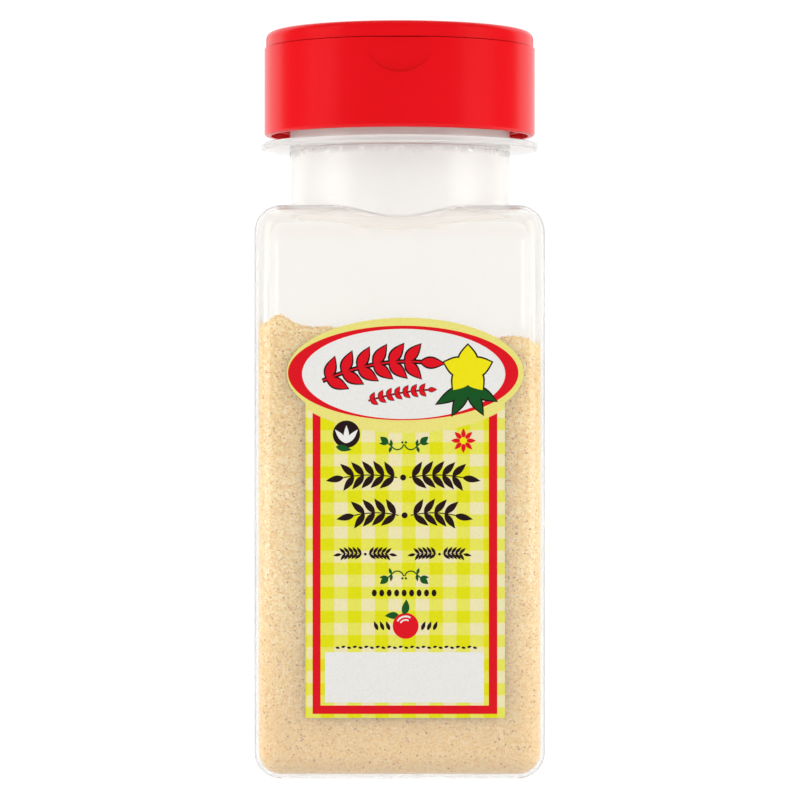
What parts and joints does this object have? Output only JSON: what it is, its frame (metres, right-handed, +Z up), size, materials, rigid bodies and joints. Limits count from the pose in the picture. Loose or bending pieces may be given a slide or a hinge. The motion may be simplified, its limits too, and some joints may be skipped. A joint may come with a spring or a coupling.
{
  "type": "flip-top spice jar",
  "caption": "Clear rectangular spice jar with a round neck, a screw cap with sifter and spoon half lids, labels and a ground spice fill.",
  "frame": {"origin": "centre of the base, on the surface that the jar stands on", "axes": "+Z up along the jar and cap axis, -Y the front with the main label and the sifter lid, +X to the right seen from the front"},
  "size_m": [0.0588, 0.0572, 0.1526],
  "materials": {
    "clear_plastic": "clear, slightly hazy, glossy",
    "spice": "fine dry powder with darker specks",
    "front_print": "satin printed film",
    "back_print": "satin printed film",
    "foam": "matt foam",
    "cap_plastic": "smooth injection-moulded gloss"
  },
  "bodies": {
    "jar": {"jar_body": "clear_plastic", "ground_spice": "spice", "front_label": "front_print", "back_label": "back_print"},
    "seal": {"sealing_ring": "foam"},
    "cap": {"cap_base": "cap_plastic", "sifter_hinge": "cap_plastic", "spoon_hinge": "cap_plastic"},
    "sifter_lid": {"sifter_flap": "cap_plastic"},
    "spoon_lid": {"spoon_flap": "cap_plastic"}
  },
  "joints": [
    {"name": "cap_lift", "type": "slide", "parent": "jar", "child": "seal", "axis": [0, 0, 1], "range_m": [0, 0.02]},
    {"name": "cap_turn", "type": "hinge", "parent": "seal", "child": "cap", "pos_m": [0, 0, 0.14], "axis": [0, 0, 1], "range_deg": [0, 1440]},
    {"name": "sifter_open", "type": "hinge", "parent": "cap", "child": "sifter_lid", "pos_m": [0, -0.0043, 0.1524], "axis": [-1, 0, 0], "range_deg": [0, 95], "deforming": ["sifter_hinge"]},
    {"name": "spoon_open", "type": "hinge", "parent": "cap", "child": "spoon_lid", "pos_m": [0, 0.0043, 0.1524], "axis": [1, 0, 0], "range_deg": [0, 95], "deforming": ["spoon_hinge"]}
  ],
  "couplings": [
    {"joint": "cap_lift", "follows": "cap_turn", "m_per_rad": 0.00079577}
  ]
}
